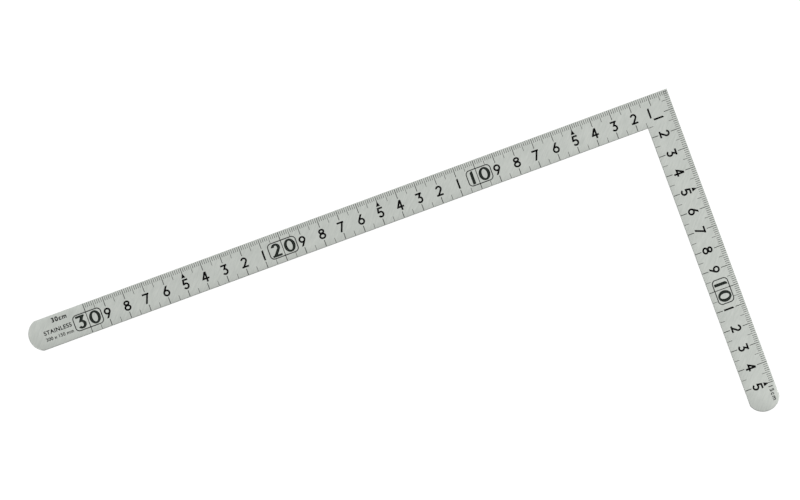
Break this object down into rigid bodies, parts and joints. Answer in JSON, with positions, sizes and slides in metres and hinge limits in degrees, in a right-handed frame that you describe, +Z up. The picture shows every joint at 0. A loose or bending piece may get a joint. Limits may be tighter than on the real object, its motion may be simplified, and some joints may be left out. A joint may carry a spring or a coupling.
{
  "type": "steel square ruler",
  "caption": "Flat L-shaped steel square ruler with arms of unequal length and rounded ends, centimetre numerals in black enamel and boxed decades.",
  "frame": {"origin": "the outer corner of the square, where both scales start, on the unlettered rest plane of its back face", "axes": "+Z up out of the marked face; the long arm runs along -X with its outer edge facing +Y, and the short arm along -Y with its outer edge facing +X"},
  "size_m": [0.33, 0.1627, 0.001],
  "materials": {
    "steel": "satin hard chrome plating on rolled steel, finely brushed",
    "enamel": "black baked enamel wiped into etched marks, satin"
  },
  "bodies": {
    "root": {"blade": "steel", "long_numeral_01": "enamel", "long_numeral_02": "enamel", "long_numeral_03": "enamel", "long_numeral_04": "enamel", "long_numeral_05": "enamel", "long_numeral_06": "enamel", "long_numeral_07": "enamel", "long_numeral_08": "enamel", "long_numeral_09": "enamel", "long_numeral_10_box": "enamel", "long_numeral_10_tens": "enamel", "long_numeral_10_zero": "enamel", "long_numeral_11": "enamel", "long_numeral_12": "enamel", "long_numeral_13": "enamel", "long_numeral_14": "enamel", "long_numeral_15": "enamel", "long_numeral_16": "enamel", "long_numeral_17": "enamel", "long_numeral_18": "enamel", "long_numeral_19": "enamel", "long_numeral_20_box": "enamel", "long_numeral_20_tens": "enamel", "long_numeral_20_zero": "enamel", "long_numeral_21": "enamel", "long_numeral_22": "enamel", "long_numeral_23": "enamel", "long_numeral_24": "enamel", "long_numeral_25": "enamel", "long_numeral_26": "enamel", "long_numeral_27": "enamel", "long_numeral_28": "enamel", "long_numeral_29": "enamel", "long_numeral_30_box": "enamel", "long_numeral_30_tens": "enamel", "long_numeral_30_zero": "enamel", "short_numeral_01": "enamel", "short_numeral_02": "enamel", "short_numeral_03": "enamel", "short_numeral_04": "enamel", "short_numeral_05": "enamel", "short_numeral_06": "enamel", "short_numeral_07": "enamel", "short_numeral_08": "enamel", "short_numeral_09": "enamel", "short_numeral_10_box": "enamel", "short_numeral_10_tens": "enamel", "short_numeral_10_zero": "enamel", "short_numeral_11": "enamel", "short_numeral_12": "enamel", "short_numeral_13": "enamel", "short_numeral_14": "enamel", "short_numeral_15": "enamel"}
  },
  "joints": []
}
